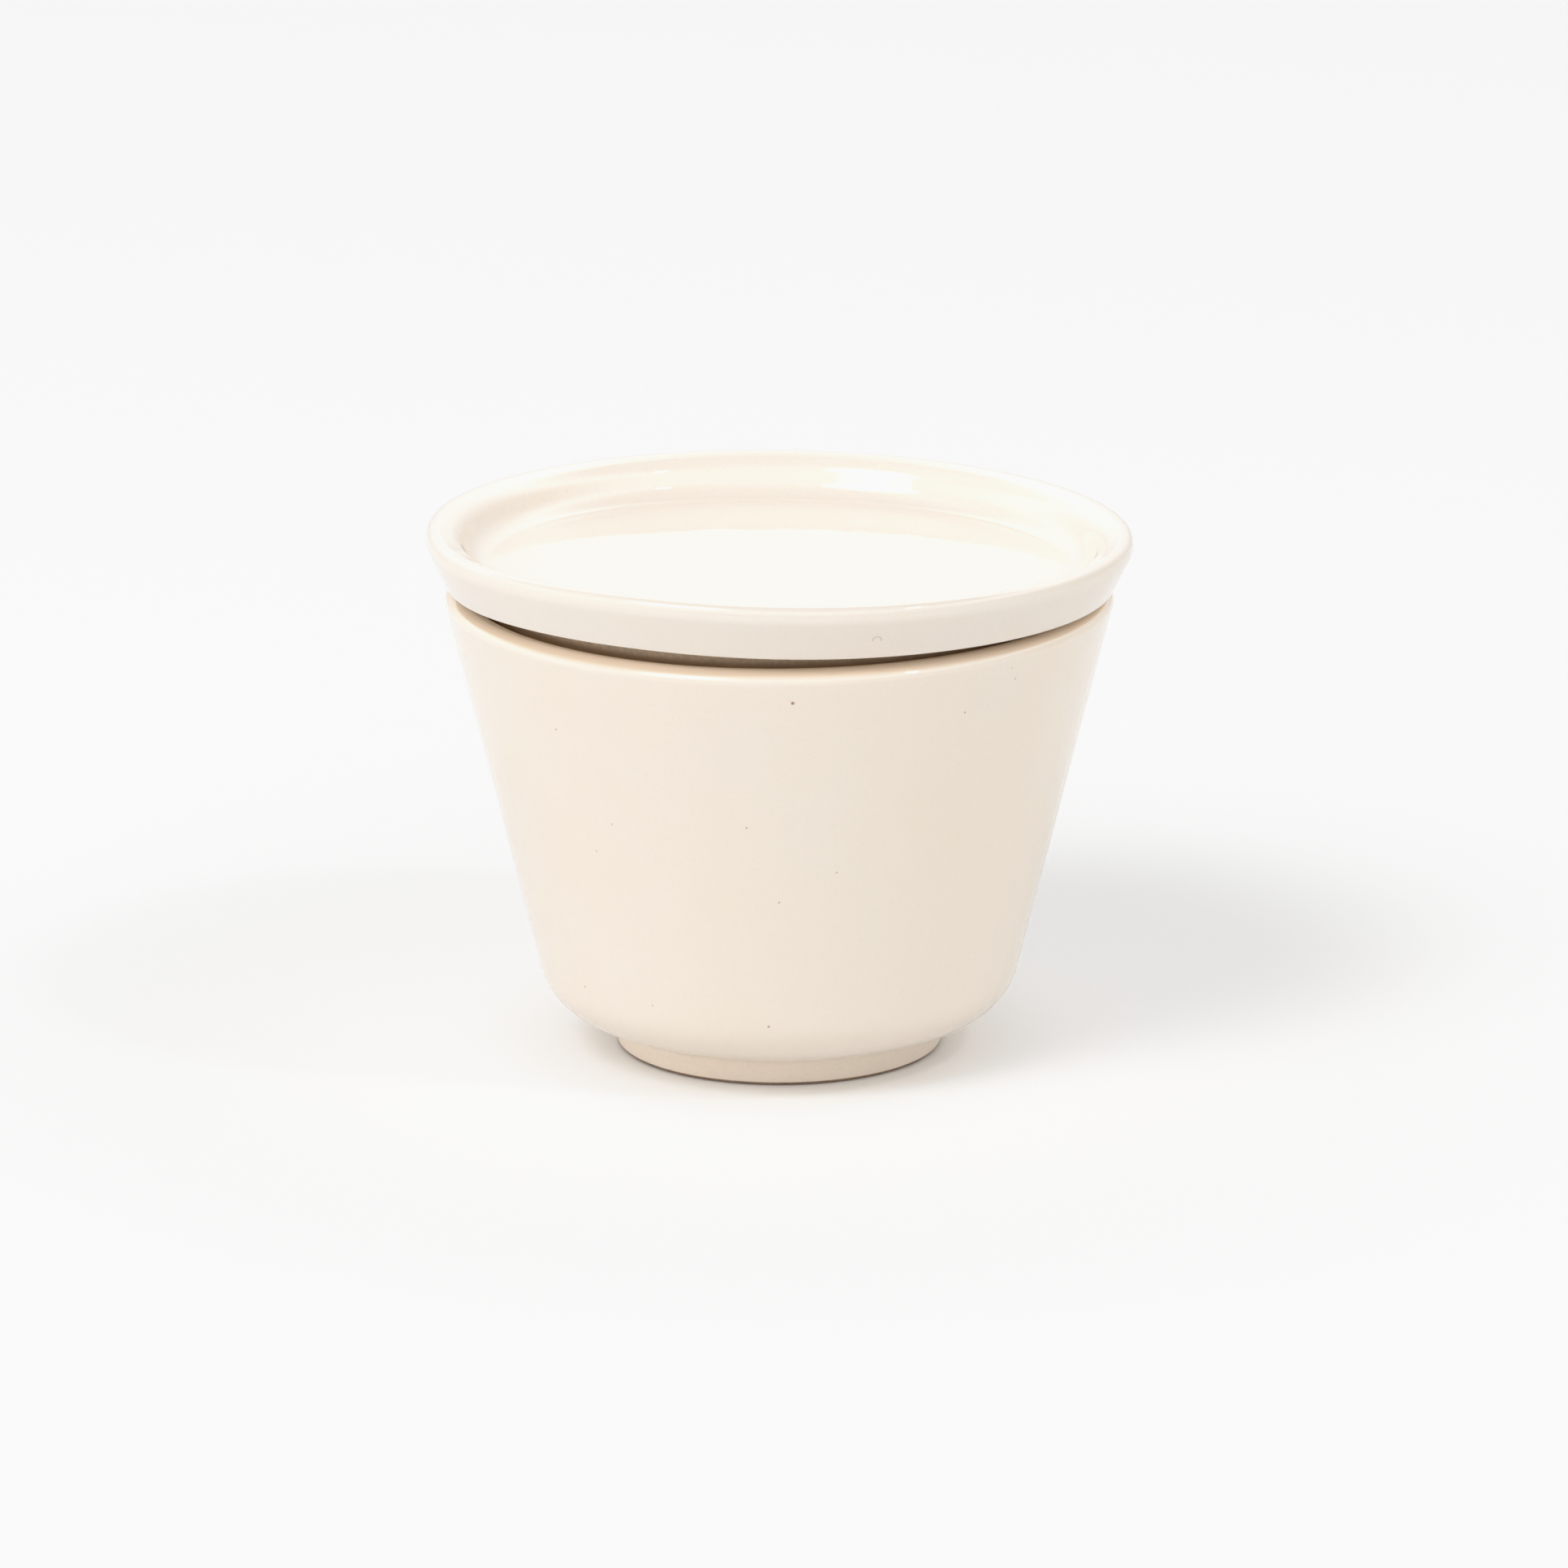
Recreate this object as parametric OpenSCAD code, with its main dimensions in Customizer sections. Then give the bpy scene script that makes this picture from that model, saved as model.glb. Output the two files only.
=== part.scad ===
// Lidded porcelain crucible: a tapered cup on a turned foot ring, and a loose
// dish-shaped lid that rests slightly askew on its rim.
// Millimetres, +Z up, origin at the centre of the foot's base, front towards -Y.

/* [Cup] */
// Height of the crest of the rim above the table
cup_h = 60.3; // [58:0.1:64]
// Radius of the circle along the crest of the rim
rim_r = 40.9; // [40.5:0.1:43]
// Thickness of the wall, and so of the fully rounded rim
wall_t = 3.2; // [2.8:0.1:3.4]
// Half angle of the tapered wall, measured from vertical
wall_angle = 13.9; // [12:0.1:15]
// Radius of the rounding where the wall turns under
heel_r = 8; // [6:0.5:9]
// Height of the inside floor above the table
floor_z = 8; // [7.5:0.1:10]
// Radius of the rounding between the inside floor and wall
well_r = 12; // [9:0.5:14]

/* [Foot] */
// Height of the foot ring, up to the underside of the cup
foot_h = 4.4; // [4:0.1:5]
// Outer radius of the foot ring where it meets the table
foot_r = 20.6; // [20:0.1:21]
// Extra outer radius of the foot ring at its top
foot_flare = 0.9; // [0.5:0.1:1]
// Width of the foot ring at its base
foot_w = 3.4; // [3:0.1:5]
// Depth of the recess inside the foot ring
recess_d = 2.6; // [2:0.1:3]

/* [Lid] */
// Outer radius of the lid across its lip
lid_r = 45; // [44.5:0.1:46]
// Height from the seating face of the lid to the flat top of its lip
lid_h = 6.6; // [6:0.1:8]
// Thickness of the side of the lid, and so of its lip
lip_t = 4.2; // [4:0.1:4.4]
// Radius of the rounding between the side of the lid and its lip
lip_r = 1.9; // [1.7:0.1:2]
// Radius of the corner between the top of the lip and the wall of the dish
brim_r = 0.7; // [0.4:0.1:1]
// Angle by which the side of the lid leans outwards, from vertical
lid_flare = 25.5; // [22:0.5:28]
// Height of the dish floor above the seating face
dish_z = 1.7; // [1.4:0.1:2]
// Radius of the rounding between the dish floor and its wall
dish_fillet = 2.5; // [2:0.1:3]
// Thickness of the lid under the dish
dish_t = 3.2; // [2.8:0.1:3.6]

/* [Locating ring] */
// Outer radius of the ring under the lid, where it meets the seating face
ring_r = 38.2; // [37:0.1:38.4]
// Draft of the ring: how much narrower it is at its lower end
ring_draft = 0.4; // [0.2:0.1:0.8]
// Depth of the ring below the seating face
ring_d = 4; // [3:0.1:5]
// Width of the ring
ring_w = 3.4; // [3:0.1:5]

/* [Seat] */
// Tilt of the resting lid from level, in degrees
lid_tilt = 1.3; // [0:0.1:1.5]
// Direction of the raised side, in degrees from the front towards the left
tilt_side = 35; // [0:5:360]
// Clearance left between the lid and the rim where they touch
seat_gap = 0.1; // [0.05:0.05:0.3]

/* [Hidden] */
$fn = 96;

edge = 0.4;          // small bevel on the ground and turned edges
root_r = 0.8;        // rounding where a ring grows out of its body
overlap = 1;         // how far joined outlines run into each other

// Unit vectors square to the cup's wall and the lid's side, pointing outwards,
// and the vectors that run down them
wall_n = [cos(wall_angle), -sin(wall_angle)];
wall_d = [-sin(wall_angle), -cos(wall_angle)];
side_n = [cos(lid_flare), -sin(lid_flare)];
side_d = [-sin(lid_flare), -cos(lid_flare)];

// Cup: centre of the rounded rim, and its ends on the two faces of the wall
rim_c = [rim_r, cup_h - wall_t / 2];
rim_out = rim_c + wall_t / 2 * wall_n;
rim_in = rim_c - wall_t / 2 * wall_n;

// Cup: centres of the roundings, each touching one face of the wall
heel_c = touching(rim_out - heel_r * wall_n, wall_d, foot_h + heel_r);
well_c = touching(rim_in - well_r * wall_n, wall_d, floor_z + well_r);

// Lid: centre of the rounding of the lip and where it leaves the side, centre of
// the inner corner and where it meets the wall of the dish, and centre of the
// rounding below that
lip_c = [lid_r - lip_r, lid_h - lip_r];
lip_out = lip_c + lip_r * side_n;
brim_c = touching(lip_out + (brim_r - lip_t) * side_n, side_d, lid_h - brim_r);
lip_in = brim_c - brim_r * side_n;
dish_c = touching(lip_in - dish_fillet * side_n, side_d, dish_z + dish_fillet);

// Radii of the foot ring's top and of the lid's lower outer edge
foot_top_r = foot_r + foot_flare;
skirt_r = lip_out.x - lip_out.y * tan(lid_flare);

// Height of the lid's seating face on the axis: its low side meets the rim
seat_z = cup_h + seat_gap + rim_r * sin(lid_tilt);

// The point of the line from p along d that lies at height z
function touching(p, d, z) = p + (z - p.y) / d.y * d;

// A concave rounding for the corner between a wall that runs down from the origin
// and a face that runs outwards from it
module root_round() {
    difference() {
        translate([-overlap, -root_r]) square([root_r + overlap, root_r + overlap]);
        translate([root_r, -root_r]) circle(root_r);
    }
}

// Half section of the foot ring and of the floor inside it
module foot_section() {
    polygon([
        [0, recess_d],
        [foot_r - foot_w - edge, recess_d],
        [foot_r - foot_w, edge],
        [foot_r - foot_w + edge, 0],
        [foot_r - edge, 0],
        [foot_r, edge],
        [foot_top_r, foot_h],
        [foot_top_r, foot_h + overlap],
        [0, foot_h + overlap],
    ]);
    translate([foot_top_r, foot_h]) root_round();
}

// Half section of the cup without its hollow
module cup_outside() {
    polygon([
        [0, foot_h],
        [heel_c.x, foot_h],
        heel_c + heel_r * wall_n,
        rim_out,
        rim_in,
        [0, rim_in.y],
    ]);
    translate(heel_c) circle(heel_r);
    foot_section();
}

// Half section of the cup's hollow, open upwards
module cup_hollow() {
    polygon([
        [0, floor_z],
        [well_c.x, floor_z],
        well_c + well_r * wall_n,
        rim_in,
        [rim_in.x, cup_h + overlap],
        [0, cup_h + overlap],
    ]);
    translate(well_c) circle(well_r);
}

// Half section of the lid without its dish: side, seating face and locating ring
module lid_outside() {
    polygon([
        [0, dish_z - dish_t],
        [ring_r - ring_draft - ring_w, dish_z - dish_t],
        [ring_r - ring_draft - ring_w, edge - ring_d],
        [ring_r - ring_draft - ring_w + edge, -ring_d],
        [ring_r - ring_draft - edge, -ring_d],
        [ring_r - ring_draft, edge - ring_d],
        [ring_r, 0],
        [skirt_r - edge / 2, 0],
        [skirt_r + edge / 2 * tan(lid_flare), edge / 2],
        lip_out,
        lip_in,
        [0, lip_in.y],
    ]);
    translate([ring_r, 0]) root_round();
}

// Half section of the lip: its rounding, the narrow flat top and the inner corner
module lid_lip() {
    translate(lip_c) circle(lip_r);
    translate(brim_c) circle(brim_r);
    polygon([lip_out, lip_c + [0, lip_r], brim_c + [0, brim_r], lip_in]);
}

// Half section of the dish in the top of the lid, open upwards
module dish_hollow() {
    polygon([
        [0, dish_z],
        [dish_c.x, dish_z],
        dish_c + dish_fillet * side_n,
        lip_in,
        [lip_in.x, lid_h + overlap],
        [0, lid_h + overlap],
    ]);
    translate(dish_c) circle(dish_fillet);
}

module cup() {
    color("AntiqueWhite")
        rotate_extrude() {
            difference() {
                cup_outside();
                cup_hollow();
            }
            translate(rim_c) circle(wall_t / 2);
        }
}

module lid() {
    color("Linen")
        translate([0, 0, seat_z])
            rotate(a = lid_tilt, v = [-cos(tilt_side), sin(tilt_side), 0])
                rotate_extrude() {
                    difference() {
                        lid_outside();
                        dish_hollow();
                    }
                    lid_lip();
                }
}

cup();
lid();
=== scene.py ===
import math

import bpy
import numpy as np
from mathutils import Matrix, Vector


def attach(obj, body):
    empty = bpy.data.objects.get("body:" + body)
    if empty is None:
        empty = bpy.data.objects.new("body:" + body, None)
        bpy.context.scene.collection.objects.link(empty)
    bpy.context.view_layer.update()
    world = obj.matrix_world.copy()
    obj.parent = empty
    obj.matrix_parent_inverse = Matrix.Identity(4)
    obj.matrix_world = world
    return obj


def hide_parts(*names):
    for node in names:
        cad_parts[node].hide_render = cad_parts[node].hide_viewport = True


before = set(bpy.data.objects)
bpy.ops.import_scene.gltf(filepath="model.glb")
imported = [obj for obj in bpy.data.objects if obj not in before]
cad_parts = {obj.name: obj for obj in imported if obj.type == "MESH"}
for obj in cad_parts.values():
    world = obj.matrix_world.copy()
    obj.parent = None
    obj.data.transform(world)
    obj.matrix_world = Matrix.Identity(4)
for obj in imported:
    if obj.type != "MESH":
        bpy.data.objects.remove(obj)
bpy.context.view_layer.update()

MM = 0.001
SEGMENTS = 288                      # steps round the axis
MERGE = 0.02                        # points of a section nearer than this, in mm, are merged

# ---------------------------------------------------------------- shapes
#
# Sizes are in millimetres. A half section is a list of (radius, height), and an angle
# round the axis starts at the front, -Y, and grows towards the right, +X.


def rounded(corners, step=2.0, turn=7.0):
    """Half section through corner points (radius, height, rounding).

    step is the longest straight piece, and turn the widest angle, in degrees, between
    two points of a rounding.
    """
    points = []
    last = None
    for i, (x, z, r) in enumerate(corners):
        here = np.array([x, z], float)
        if r <= 0 or i in (0, len(corners) - 1):
            piece = [here]
        else:
            a = np.array(corners[i - 1][:2], float) - here
            b = np.array(corners[i + 1][:2], float) - here
            a /= np.linalg.norm(a)
            b /= np.linalg.norm(b)
            half = math.acos(np.clip(a @ b, -1, 1)) / 2
            cut = r / math.tan(half)
            middle = (a + b) / np.linalg.norm(a + b)
            centre = here + middle * r / math.sin(half)
            start, end = here + a * cut, here + b * cut
            sweep = math.pi - 2 * half
            count = max(4, math.ceil(math.degrees(sweep) / turn))
            v0 = start - centre
            sign = np.sign(v0[0] * (end - centre)[1] - v0[1] * (end - centre)[0])
            piece = []
            for k in range(count + 1):
                t = sign * sweep * k / count
                c, s = math.cos(t), math.sin(t)
                piece.append(centre + [c * v0[0] - s * v0[1], s * v0[0] + c * v0[1]])
        if last is not None:
            gap = piece[0] - last
            length = np.linalg.norm(gap)
            for k in range(1, math.ceil(length / step)):
                points.append(last + gap * k / math.ceil(length / step))
        points.extend(piece)
        last = piece[-1]
    kept = [points[0]]
    for p in points[1:]:
        if np.linalg.norm(p - kept[-1]) > MERGE:
            kept.append(p)
    return np.array(kept)


def waves(seed, count, low, high):
    """Random smooth ripples with low to high turns round the axis.

    Each is (turns, twist with height, phase, weight).
    """
    rng = np.random.default_rng(seed)
    return [
        (
            int(rng.integers(low, high + 1)),
            rng.uniform(-1, 1),
            rng.uniform(0, 2 * math.pi),
            rng.uniform(0.5, 1),
        )
        for _ in range(count)
    ]


def ripple(terms, a, h, pitch):
    """Sum of the ripples at angles a and heights h, one unit at most."""
    total = sum(w * np.cos(n * a + p + k * h * 2 * math.pi / pitch) for n, k, p, w in terms)
    return total / sum(w for *_, w in terms)


def ease(v, low, high):
    """0 up to low, 1 from high on, and a straight line between."""
    return np.clip((v - low) / (high - low), 0, 1)


def about_axis(radius, a, z):
    """Points at a radius, an angle round the axis and a height."""
    return np.stack([radius * np.sin(a), -radius * np.cos(a), z], -1)


def lathe(name, section, place, material_of):
    """Turns a half section that starts and ends on the axis into a closed mesh.

    place(x, z, a) moves the ring points, and material_of(point) picks a slot.
    """
    inner = section[1:-1]
    a = np.arange(SEGMENTS) * 2 * math.pi / SEGMENTS
    x = np.repeat(inner[:, 0][:, None], SEGMENTS, 1)
    z = np.repeat(inner[:, 1][:, None], SEGMENTS, 1)
    turn = np.repeat(a[None, :], len(inner), 0)
    ring = place(x, z, turn)
    axis = np.zeros((1, 1))
    ends = [place(axis, np.array([[p[1]]]), axis)[0, 0] for p in (section[0], section[-1])]
    coords = np.vstack([ring.reshape(-1, 3), ends]) * MM
    n = len(inner)
    faces, slots = [], []
    for i in range(n - 1):
        slot = material_of((inner[i] + inner[i + 1]) / 2)
        for j in range(SEGMENTS):
            k = (j + 1) % SEGMENTS
            faces.append((i * SEGMENTS + j, i * SEGMENTS + k, (i + 1) * SEGMENTS + k,
                          (i + 1) * SEGMENTS + j))
            slots.append(slot)
    first, final = n * SEGMENTS, n * SEGMENTS + 1
    for j in range(SEGMENTS):
        k = (j + 1) % SEGMENTS
        faces.append((first, k, j))
        slots.append(material_of(inner[0]))
        faces.append((final, (n - 1) * SEGMENTS + j, (n - 1) * SEGMENTS + k))
        slots.append(material_of(inner[-1]))
    mesh = bpy.data.meshes.new(name)
    mesh.from_pydata(coords.tolist(), [], faces)
    mesh.polygons.foreach_set("material_index", slots)
    mesh.polygons.foreach_set("use_smooth", [True] * len(faces))
    mesh.update()
    piece = bpy.data.objects.new(name, mesh)
    bpy.context.scene.collection.objects.link(piece)
    return piece


# ---------------------------------------------------------------- the cup

CUP_H = 60.3
WALL_ANGLE = math.radians(13.9)     # from vertical
WALL_T = 3.2
WALL_X, WALL_Z = 31.48, 13.75       # a point of the outside wall
RIM_OUT, RIM_IN = 1.1, 0.75         # roundings of the rim, outside and inside
RIM_DROP = 0.85                     # how far the rim's outer edge lies below its crest
RECESS_Z = 2.6                      # ceiling of the recess inside the foot ring
WELL_Z = 8                          # floor of the cup's hollow
FOOT_CLAY_SHADE_Z = 0.45                  # the foot ring is bare clay below this, darkened as painted contact shade
CUP_WOBBLE = 0.0012                 # out of round, as a share of the radius
RIM_WARP = 0.11                     # how far the rim rises and falls, twice round the cup

inside_shift = WALL_T / math.cos(WALL_ANGLE)


def wall(z, inside=False):
    """Radius of the wall at height z."""
    return WALL_X + (z - WALL_Z) * math.tan(WALL_ANGLE) - (inside_shift if inside else 0)


cup_section = rounded([
    (0, RECESS_Z, 0),
    (17.0, RECESS_Z, 1.0),
    (17.2, 0, 0.45),                # foot ring, inner edge
    (20.65, 0, 0.8),                # foot ring, outer edge
    (21.1, 2.0, 3.0),
    (21.4, 3.5, 1.2),               # root of the foot ring
    (29.6, 6.15, 8.0),              # heel
    (wall(CUP_H - RIM_DROP), CUP_H - RIM_DROP, RIM_OUT),
    (40.8, CUP_H, 1.2),             # crest of the rim
    (wall(CUP_H, True), CUP_H, RIM_IN),
    (wall(WELL_Z, True), WELL_Z, 12),
    (0, WELL_Z, 0),
])

cup_waves = waves(11, 7, 1, 5)


def cup_place(x, z, a):
    """Throws the cup a few hundredths of a millimetre out of round."""
    grow = 1 + ease(z, 4, 24) * CUP_WOBBLE * ripple(cup_waves, a, z, 90)
    warp = RIM_WARP * ease(z, 45, 60) * np.sin(2 * a)
    return about_axis(x * grow, a, z + warp)


# ---------------------------------------------------------------- the lid

LID_TILT = math.radians(1.3)
TILT_SIDE = math.radians(35)        # direction of the raised side, from the front to the left
RIM_R = 40.9                        # radius of the rim that the lid rests on
SEAT_GAP = 0.1
SEAT_Z = CUP_H + SEAT_GAP + RIM_R * math.sin(LID_TILT)
LID_R = 45.0
LID_H = 6.60                        # from the seating face to the top of the lip
LIP_T = 4.0
FLARE_ANGLE = math.radians(25.5)    # lean of the lid's side, from vertical
FLARE = math.tan(FLARE_ANGLE)
LIP_R, CREST_R, BRIM_R = 2.06, 0.9, 3.0
CREST_A = math.radians(22)          # where the lip's rounding gives way to its tighter corner
BRIM_X = 43.3                       # inside this the lip slopes gently down to the dish
BRIM_A = math.radians(19)
DISH_Z = 1.6                        # the dish floor above the seating face
RING_X, RING_Z = 38.2, -4           # root and lower end of the locating ring
SEAT_CLAY_SHADE = (37.2, 42.0, 0.05)      # bare clay with painted shade between these radii and below this height
DISH_EDGE = 41.9                    # the dish lies inside this radius
DISH_SLOPE = 0.45 / 36              # rise of the dish floor towards the front
UNDER_Z = -1.5                      # underside of the lid inside the locating ring
LID_WOBBLE = 0.0010                 # out of round, as a share of the radius

crest_c, crest_s = math.cos(CREST_A), math.sin(CREST_A)
lip_x = LID_R - LIP_R
lip_z = LID_H - CREST_R - (LIP_R - CREST_R) * crest_s
side_x = lip_x + LIP_R * math.cos(FLARE_ANGLE)
side_z = lip_z - LIP_R * math.sin(FLARE_ANGLE)
skirt_x = side_x - side_z * FLARE
# corners of the sloping line that touches both roundings of the lip
crest_x = lip_x + (LIP_R - (LID_H - lip_z) * crest_s) / crest_c
lip_sum = lip_x * crest_c + lip_z * crest_s + LIP_R
corner_z = (lip_sum - skirt_x * crest_c) / (crest_s + FLARE * crest_c)
corner_x = skirt_x + corner_z * FLARE
inner_shift = LIP_T / math.cos(FLARE_ANGLE)


def dish_wall(z):
    """Radius of the dish's wall at height z."""
    return skirt_x + z * FLARE - inner_shift


brim_run = (BRIM_X - dish_wall(LID_H)) / (1 - FLARE * math.tan(BRIM_A))
brim_z = LID_H - brim_run * math.tan(BRIM_A)

lid_section = rounded([
    (0, UNDER_Z, 0),
    (34.2, UNDER_Z, 0.8),
    (34.4, RING_Z, 0.5),
    (37.8, RING_Z, 0.5),
    (RING_X, 0, 0.8),
    (skirt_x, 0, 0.22),
    (corner_x, corner_z, LIP_R),
    (crest_x, LID_H, CREST_R),
    (BRIM_X, LID_H, 0.5),
    (dish_wall(brim_z), brim_z, BRIM_R),
    (dish_wall(DISH_Z), DISH_Z, 3.6),
    (0, DISH_Z, 0),
], step=1.6)

lid_waves = waves(23, 7, 1, 4)
floor_waves = waves(37, 6, 1, 3)
tilt = np.array(Matrix.Rotation(
    LID_TILT, 3, Vector((-math.cos(TILT_SIDE), math.sin(TILT_SIDE), 0)),
))


def skirt_wave(a):
    """Slow ripples in the lid's edge, left of the front, and a dip at its far left."""
    away = (a + math.radians(25) + math.pi) % (2 * math.pi) - math.pi
    dip = np.exp(-((away + math.radians(48)) / math.radians(20)) ** 2)
    return 0.14 * np.cos(4 * away) * np.clip(1 - np.abs(away) / 1.2, 0, 1) - 0.40 * dip


def lid_place(x, z, a):
    """Bends the lip's plane and the dish floor a little, then tilts the lid on its seat."""
    high = np.clip(z / LID_H, 0, 1) * ease(x, 36, 40)
    grow = 1 + high * LID_WOBBLE * ripple(lid_waves, a, z, 60)
    warp = high * (0.36 * np.cos(a) + 0.09 * np.cos(2 * a)) + skirt_wave(a) * ease(x, 40, 42)
    top_side = z > 0.5
    middle = top_side * np.clip(1 - x / 37, 0, 1) ** 0.7
    sag = 0.12 * middle * ripple(floor_waves, a, x, 60) * (x / 20)
    deep = np.clip((LID_H - z) / (LID_H - DISH_Z), 0, 1) * top_side * (x < DISH_EDGE)
    sag = sag + DISH_SLOPE * deep * x * np.cos(a)
    p = about_axis(x * grow, a, z + warp + sag) @ tilt.T
    p[..., 2] += SEAT_Z
    return p


# ---------------------------------------------------------------- materials


def new_material(name):
    """A material, its node tree and its shader node."""
    m = bpy.data.materials.new(name)
    m.use_nodes = True
    t = m.node_tree
    t.nodes.clear()
    out = t.nodes.new("ShaderNodeOutputMaterial")
    shader = t.nodes.new("ShaderNodeBsdfPrincipled")
    t.links.new(shader.outputs[0], out.inputs[0])
    return m, t, shader


def add(t, kind, **inputs):
    """Makes a node; keys are its inputs by name, or its settings when no input has the name."""
    n = t.nodes.new(kind)
    for key, value in inputs.items():
        if hasattr(n, key) and key not in n.inputs:
            setattr(n, key, value)
    for key, value in inputs.items():
        if key in n.inputs:
            if isinstance(value, bpy.types.NodeSocket):
                t.links.new(value, n.inputs[key])
            else:
                n.inputs[key].default_value = value
    return n


def math_node(t, operation, a, b=0.0, c=0.0):
    n = t.nodes.new("ShaderNodeMath")
    n.operation = operation
    for i, v in enumerate((a, b, c)):
        if isinstance(v, bpy.types.NodeSocket):
            t.links.new(v, n.inputs[i])
        else:
            n.inputs[i].default_value = v
    return n.outputs[0]


def mix_colour(t, fac, a, b, blend="MIX"):
    n = t.nodes.new("ShaderNodeMix")
    n.data_type = "RGBA"
    n.blend_type = blend
    for sock, v in ((n.inputs["Factor"], fac), (n.inputs[6], a), (n.inputs[7], b)):
        if isinstance(v, bpy.types.NodeSocket):
            t.links.new(v, sock)
        else:
            sock.default_value = v
    return n.outputs[2]


def ramp(t, value, low, high):
    """Rises smoothly from 0 at low to 1 at high."""
    n = t.nodes.new("ShaderNodeMapRange")
    n.interpolation_type = "SMOOTHSTEP"
    t.links.new(value, n.inputs["Value"])
    n.inputs["From Min"].default_value = low
    n.inputs["From Max"].default_value = high
    return n.outputs["Result"]


def height_of(t, vector):
    return add(t, "ShaderNodeSeparateXYZ", Vector=vector).outputs["Z"]


def noise(t, where, scale, detail=2.0, rough=0.5):
    n = add(t, "ShaderNodeTexNoise", Vector=where, Scale=scale, Detail=detail, Roughness=rough)
    return n.outputs["Fac"]


def specks(t, where, cell_mm, share, size_mm, seed):
    """Round specks: in a share of the cells of a scattered grid, with soft edges."""
    shifted = add(t, "ShaderNodeVectorMath", operation="ADD")
    t.links.new(where, shifted.inputs[0])
    shifted.inputs[1].default_value = (seed * 0.37, seed * 0.19, seed * 0.53)
    v = add(t, "ShaderNodeTexVoronoi", Vector=shifted.outputs[0], Scale=1000 / cell_mm)
    chance = add(t, "ShaderNodeSeparateColor", Color=v.outputs["Color"])
    reach = math_node(t, "MULTIPLY", chance.outputs[1], size_mm / cell_mm * 0.6)
    reach = math_node(t, "ADD", reach, size_mm / cell_mm * 0.4)
    inside = math_node(t, "SUBTRACT", reach, v.outputs["Distance"])
    dot = ramp(t, inside, 0.0, size_mm / cell_mm * 0.35)
    chosen = math_node(t, "LESS_THAN", chance.outputs[0], share)
    return math_node(t, "MULTIPLY", dot, chosen)


def within(t, where, outer, inner):
    """1 nearer to the axis than the radius `inner`, 0 beyond `outer`, in metres."""
    flat = add(t, "ShaderNodeVectorMath", operation="MULTIPLY")
    t.links.new(where, flat.inputs[0])
    flat.inputs[1].default_value = (1, 1, 0)
    far = add(t, "ShaderNodeVectorMath", operation="LENGTH")
    t.links.new(flat.outputs[0], far.inputs[0])
    return ramp(t, far.outputs["Value"], outer, inner)


# painted shade for the top of the rim under the lid
RIM_SHADE_TONE = (0.965, 0.905, 0.82, 1)
PIN_TONE = (0.36, 0.24, 0.15, 1)
FLECK_TONE = (0.30, 0.15, 0.07, 1)


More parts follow.
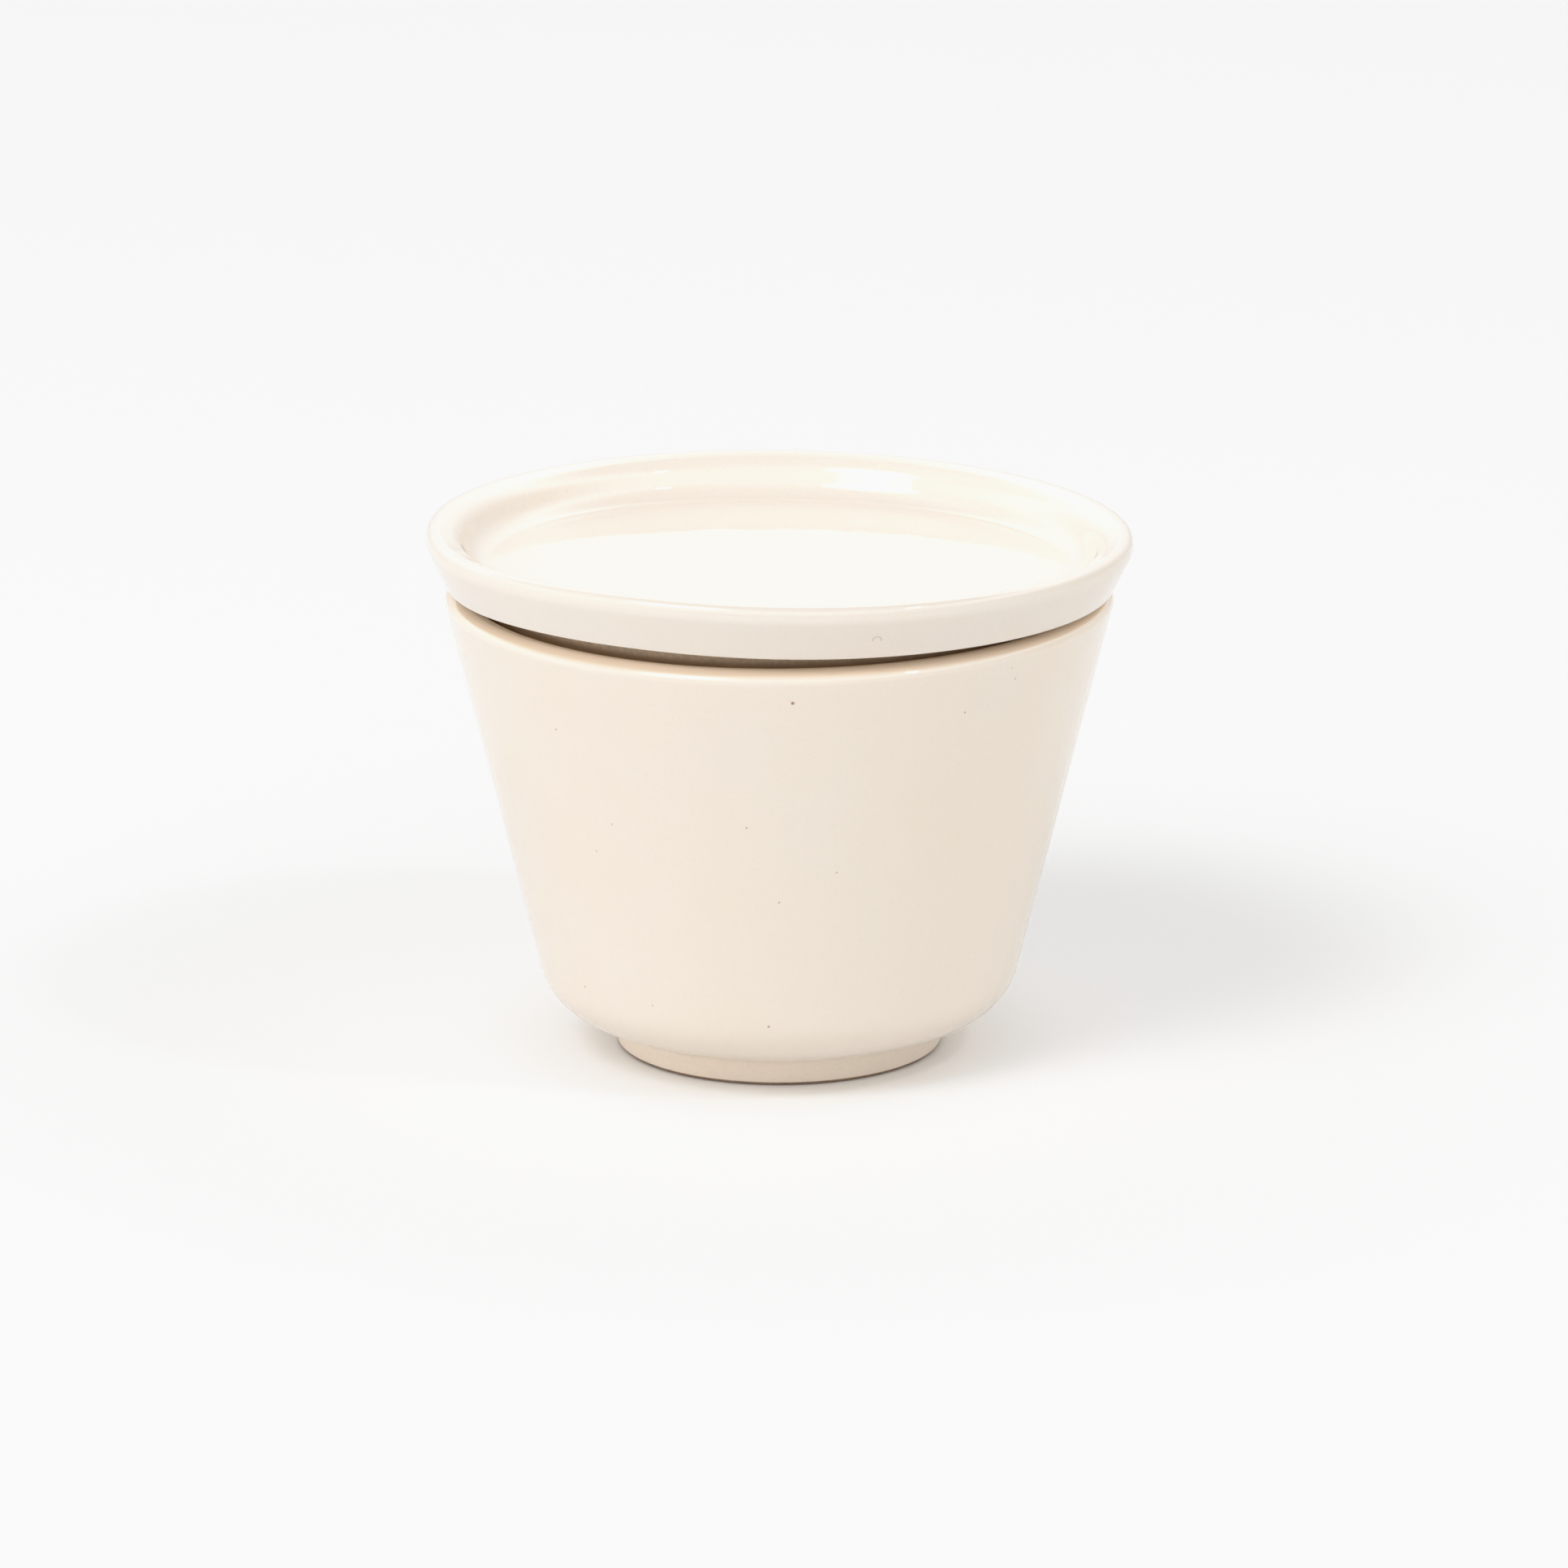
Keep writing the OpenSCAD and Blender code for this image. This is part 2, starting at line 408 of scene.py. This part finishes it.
def glaze(name, colour, warm, cool, seed, foot=None, flecks=(), top_light_tone=None):
    """Glossy cream glaze: clouded tone, pin specks, fine grain and a slow ripple.

    foot is the warmer tone of a matt foot, set lighter than the glaze as painted light in the
    shade under the heel; with it the top of the rim also gets painted shade under the lid. The
    last argument is a paler tone, painted light on the upward-facing lip and dish. flecks are
    (spot, size, depth), all in mm but the depth. The ramps' heights and radii are in metres.
    """
    m, t, shader = new_material(name)
    where = add(t, "ShaderNodeTexCoord").outputs["Object"]
    clouds = noise(t, where, 38 + seed, 3, 0.55)
    tone = mix_colour(t, ramp(t, clouds, 0.3, 0.7), warm, cool)
    base = mix_colour(t, 0.35, colour, tone)
    if foot:
        high = height_of(t, where)
        # the foot's warmer tone, lighter than the glaze: painted light in the shade under the
        # heel
        base = mix_colour(t, ramp(t, high, 0.0062, 0.0040), base, foot)
        # painted shade: the top of the rim, under the lid's edge, is darker and warmer
        rim_shade = math_node(t, "MULTIPLY", within(t, where, 0.0425, 0.0419),
                         ramp(t, high, 0.0588, 0.0594))
        base = mix_colour(t, rim_shade, base, RIM_SHADE_TONE, "MULTIPLY")
    if top_light_tone:
        # painted light: the upward-facing lip and dish are paler, as if lit more from above
        facing = height_of(t, add(t, "ShaderNodeNewGeometry").outputs["Normal"])
        top_light = math_node(t, "MULTIPLY", ramp(t, facing, -0.25, 0.30),
                         within(t, where, 0.0441, 0.0431))
        base = mix_colour(t, top_light, base, top_light_tone)
    grain = noise(t, where, 1900, 2, 0.6)
    dark = tuple(c * 0.93 for c in colour[:3]) + (1,)
    base = mix_colour(t, math_node(t, "MULTIPLY", ramp(t, grain, 0.45, 0.8), 0.25), base, dark)
    pin = specks(t, where, 3.1, 0.04, 0.22, seed)
    base = mix_colour(t, math_node(t, "MULTIPLY", pin, 0.35), base, PIN_TONE)
    for spot, size, depth in flecks:
        apart = add(t, "ShaderNodeVectorMath", operation="DISTANCE")
        t.links.new(where, apart.inputs[0])
        apart.inputs[1].default_value = [v * MM for v in spot]
        dot = ramp(t, apart.outputs["Value"], size * MM * 0.62, size * MM * 0.34)
        base = mix_colour(t, math_node(t, "MULTIPLY", dot, depth), base, FLECK_TONE)
    t.links.new(base, shader.inputs["Base Color"])
    shader.inputs["IOR"].default_value = 1.55
    rough = ramp(t, noise(t, where, 900, 2, 0.5), 0.2, 0.8)
    spread = add(t, "ShaderNodeMapRange")
    t.links.new(rough, spread.inputs["Value"])
    spread.inputs["To Min"].default_value = 0.02
    spread.inputs["To Max"].default_value = 0.04
    dull = spread.outputs["Result"]
    if foot:
        dull = math_node(t, "MULTIPLY_ADD", ramp(t, high, 0.0066, 0.0044), 0.45, dull)
    t.links.new(dull, shader.inputs["Roughness"])
    peel = noise(t, where, 420, 2, 0.5)
    slow = noise(t, where, 90, 1, 0.5)
    height = math_node(t, "ADD", math_node(t, "MULTIPLY", peel, 0.25), slow)
    height = math_node(t, "SUBTRACT", height, math_node(t, "MULTIPLY", pin, 0.4))
    bump = add(t, "ShaderNodeBump", Strength=0.10, Distance=0.0004, Height=height)
    t.links.new(bump.outputs[0], shader.inputs["Normal"])
    return m


def biscuit(name, colour, shade=None):
    """Bare fired clay on the base of the foot and on the lid's seat: matt and grainy.

    shade is painted shade: a deeper tone, and the two heights in metres between which it
    sets in, deepest at the second.
    """
    m, t, shader = new_material(name)
    where = add(t, "ShaderNodeTexCoord").outputs["Object"]
    grit = noise(t, where, 1500, 4, 0.65)
    light = tuple(min(1, c * 1.08) for c in colour[:3]) + (1,)
    dark = tuple(c * 0.85 for c in colour[:3]) + (1,)
    base = mix_colour(t, ramp(t, grit, 0.3, 0.7), dark, light)
    if shade:
        tone, top, bottom = shade
        base = mix_colour(t, ramp(t, height_of(t, where), top, bottom), base, tone)
    t.links.new(base, shader.inputs["Base Color"])
    shader.inputs["Roughness"].default_value = 0.85
    bump = add(t, "ShaderNodeBump", Strength=0.4, Distance=0.0002, Height=grit)
    t.links.new(bump.outputs[0], shader.inputs["Normal"])
    return m


# Flecks on the side of the cup: degrees from the front, height and width in mm, and strength
FLECKS = (
    (2.3, 56.3, 0.44, 0.85), (44.8, 56.1, 0.24, 0.55), (43.4, 57.8, 0.20, 0.5),
    (34.3, 52.9, 0.28, 0.6), (-44.0, 49.3, 0.26, 0.6), (-6.2, 38.9, 0.28, 0.55),
    (-34.2, 37.5, 0.24, 0.5), (-39.3, 33.2, 0.24, 0.5), (11.5, 32.5, 0.24, 0.5),
    (0.0, 28.5, 0.28, 0.5), (-52.1, 12.7, 0.28, 0.6), (-30.9, 12.5, 0.24, 0.5),
    (-2.5, 10.9, 0.30, 0.7),
)
# Pin marks along the lip: degrees, radius, height above the seat, width and strength
LIP_MARKS = (
    (30.5, 43.0, LID_H - 0.1, 0.30, 0.45), (35.5, 43.2, LID_H - 0.05, 0.24, 0.4),
    (38.8, 43.9, LID_H, 0.30, 0.5), (72.0, 43.6, LID_H, 0.30, 0.5),
)
# A hair caught in the glaze of the lid's side, arched in seven dots
HAIR_TURN, HAIR_Z, HAIR_DOTS = 16.0, 2.4, 7


def on_cup(turn, z, size, depth):
    """A fleck on the outside of the cup's wall, for glaze()."""
    return about_axis(wall(z), math.radians(turn), z).tolist(), size, depth


def on_lid(turn, radius, z, size, depth):
    """A fleck on the lid, wherever its warp and tilt take that point, for glaze()."""
    spot = lid_place(*(np.array([[v]]) for v in (radius, z, math.radians(turn))))[0, 0]
    return spot.tolist(), size, depth


def hair_dot(k):
    arch = math.pi * k / (HAIR_DOTS - 1)
    z = HAIR_Z + 0.45 * math.sin(arch)
    return on_lid(HAIR_TURN + 0.75 * math.cos(arch), skirt_x + z * FLARE, z, 0.22, 0.4)


cup_marks = [on_cup(*fleck) for fleck in FLECKS]
lid_marks = [on_lid(*mark) for mark in LIP_MARKS] + [hair_dot(k) for k in range(HAIR_DOTS)]

cup_glaze = glaze("cup_cream_glaze", (0.785, 0.703, 0.617, 1), (0.793, 0.698, 0.595, 1),
                  (0.793, 0.727, 0.651, 1), 1, foot=(0.925, 0.82, 0.70, 1), flecks=cup_marks)
lid_glaze = glaze("lid_cream_glaze", (0.775, 0.702, 0.630, 1), (0.785, 0.697, 0.607, 1),
                  (0.785, 0.725, 0.662, 1), 7, flecks=lid_marks,
                  top_light_tone=(0.86, 0.774, 0.686, 1))
# bare clay on the base of the foot ring, darkened as painted contact shade where it meets the
# floor
foot_clay_contact_shade = biscuit("foot_bare_clay_contact_shade", (0.40, 0.27, 0.18, 1))
# bare clay on the lid's seat, with painted shade deepening down the locating ring in the gap
# under the lid
seat_clay_gap_shade = biscuit("seat_bare_clay_gap_shade", (0.80, 0.66, 0.50, 1),
                    shade=((0.36, 0.23, 0.13, 1), 0.0609, 0.0597))


def foot_base(p):
    """Slot 1, the bare clay darkened as painted contact shade, for the base of the foot ring.
    """
    return int(p[1] < FOOT_CLAY_SHADE_Z)


def seat(p):
    """Slot 1, the bare clay with painted shade, for the lid's seating face and the outside of
    its ring.
    """
    inner, outer, top = SEAT_CLAY_SHADE
    return int(p[1] < top and inner < p[0] < outer)


cup = lathe("cup_body", cup_section, cup_place, foot_base)
cup.data.materials.append(cup_glaze)
cup.data.materials.append(foot_clay_contact_shade)
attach(cup, "cup")
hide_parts("cup")

lid = lathe("lid_body", lid_section, lid_place, seat)
lid.data.materials.append(lid_glaze)
lid.data.materials.append(seat_clay_gap_shade)
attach(lid, "lid")
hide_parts("lid")

# ---------------------------------------------------------------- stage


def plane(name, size):
    """A level square round the origin; its size is in metres."""
    half = size / 2
    mesh = bpy.data.meshes.new(name)
    mesh.from_pydata(
        [(-half, -half, 0), (half, -half, 0), (half, half, 0), (-half, half, 0)],
        [], [(0, 1, 2, 3)],
    )
    o = bpy.data.objects.new(name, mesh)
    bpy.context.scene.collection.objects.link(o)
    return o


floor = plane("floor", 12.0)
m, t, shader = new_material("floor_white")
shader.inputs["Base Color"].default_value = (0.84, 0.84, 0.84, 1)
shader.inputs["Roughness"].default_value = 0.9
shader.inputs["Specular IOR Level"].default_value = 0.2
floor.data.materials.append(m)

world = bpy.data.worlds.new("studio")
bpy.context.scene.world = world
world.use_nodes = True
wt = world.node_tree
glow = wt.nodes["Background"]
# A ring of soft light: strengths from the front, right, back and left at each elevation
# in degrees, as shares of BRIGHT in a colour ramp's four channels
BRIGHT = 3.0
LEVEL = 0.975
RING = (
    (0, (0.30, 0.55, 0.80, 0.80)),
    (10, (0.35, 0.55, 1.10, 1.10)),
    (22, (1.55, 0.70, 1.45, 2.30)),
    (38, (1.65, 2.72, 2.20, 0.50)),
    (55, (0.90, 0.25, 0.00, 0.90)),
    (75, (0.00, 0.00, 0.00, 0.00)),
)
way = add(wt, "ShaderNodeTexCoord").outputs["Generated"]
axes = add(wt, "ShaderNodeSeparateXYZ", Vector=way).outputs
rise = math_node(wt, "MULTIPLY", math_node(wt, "ARCSINE", axes["Z"]), 2 / math.pi)
bands = add(wt, "ShaderNodeValToRGB", Fac=rise)
bands.color_ramp.interpolation = "LINEAR"
stops = bands.color_ramp.elements
while len(stops) < len(RING):
    stops.new(0.5)
for k, (elevation, _) in enumerate(RING):
    stops[k].position = elevation / 90
for k, (_, levels) in enumerate(RING):
    stops[k].color = [v / BRIGHT for v in levels]
parts = add(wt, "ShaderNodeSeparateColor", Color=bands.outputs["Color"]).outputs
spread = math_node(wt, "MAXIMUM", math_node(wt, "SUBTRACT", 1.0, math_node(
    wt, "MULTIPLY", axes["Z"], axes["Z"])), 0.0001)


def side_share(axis, sign):
    """How much a direction belongs to one of the four sides: its cosine squared."""
    along = math_node(wt, "MAXIMUM", math_node(wt, "MULTIPLY", axes[axis], sign), 0.0)
    return math_node(wt, "DIVIDE", math_node(wt, "MULTIPLY", along, along), spread)


total = math_node(wt, "MULTIPLY", parts[0], side_share("Y", -1))
total = math_node(wt, "MULTIPLY_ADD", parts[1], side_share("X", 1), total)
total = math_node(wt, "MULTIPLY_ADD", parts[2], side_share("Y", 1), total)
total = math_node(wt, "MULTIPLY_ADD", bands.outputs["Alpha"], side_share("X", -1), total)
wt.links.new(math_node(wt, "MULTIPLY", total, BRIGHT * LEVEL), glow.inputs["Strength"])
glow.inputs["Color"].default_value = (1, 1, 1, 1)


MIDDLE = Vector((0, 0, 0.05))       # what the lights point at


def area_light(name, azimuth, elevation, distance, size, power):
    """A round light, seen from the object at an azimuth from the front towards the right."""
    data = bpy.data.lights.new(name, "AREA")
    data.shape = "DISK"
    data.size = size
    data.energy = power
    o = bpy.data.objects.new(name, data)
    a, e = math.radians(azimuth), math.radians(elevation)
    way = Vector((math.sin(a) * math.cos(e), -math.cos(a) * math.cos(e), math.sin(e)))
    o.location = MIDDLE + way * distance
    o.rotation_mode = "QUATERNION"
    o.rotation_quaternion = (-way).to_track_quat("-Z", "Y")
    bpy.context.scene.collection.objects.link(o)


area_light("softbox", -42, 48, 2.5, 1.39, 11.9)
area_light("softbox_core", -42, 48, 2.48, 0.95, 7.5)
area_light("lamp", 58, 49, 1.35, 0.10, 1.3)

CAMERA_AT = Vector((0.0006, -1.5, 0.459))
LOOK_AT = Vector((0.0006, 0, 0.034))

camera_data = bpy.data.cameras.new("camera")
camera = bpy.data.objects.new("camera", camera_data)
bpy.context.scene.collection.objects.link(camera)
bpy.context.scene.camera = camera
camera_data.sensor_width = 36
camera_data.lens = 279.75
camera.location = CAMERA_AT
camera.rotation_mode = "QUATERNION"
camera.rotation_quaternion = (LOOK_AT - CAMERA_AT).to_track_quat("-Z", "Y")

# A soft shoulder, so that the brightest parts of the glaze keep their tone
TONE = ((0, 0), (0.30, 0.275), (0.61, 0.585), (0.75, 0.745), (0.87, 0.865), (0.93, 0.92),
        (1.03, 0.962), (1.5, 0.997), (3.5, 1.0))

view = bpy.context.scene.view_settings
view.view_transform = "Standard"
view.look = "None"
view.use_curve_mapping = True
tone_curve = view.curve_mapping
tone_curve.use_clip = False
tone_curve.clip_max_x = 4.0
tone_curve.extend = "HORIZONTAL"
dots = tone_curve.curves[3].points
for k, (x, y) in enumerate(TONE):
    if k < 2:                       # the curve starts with two points
        dots[k].location = (x, y)
    else:
        dots.new(x, y)
tone_curve.update()
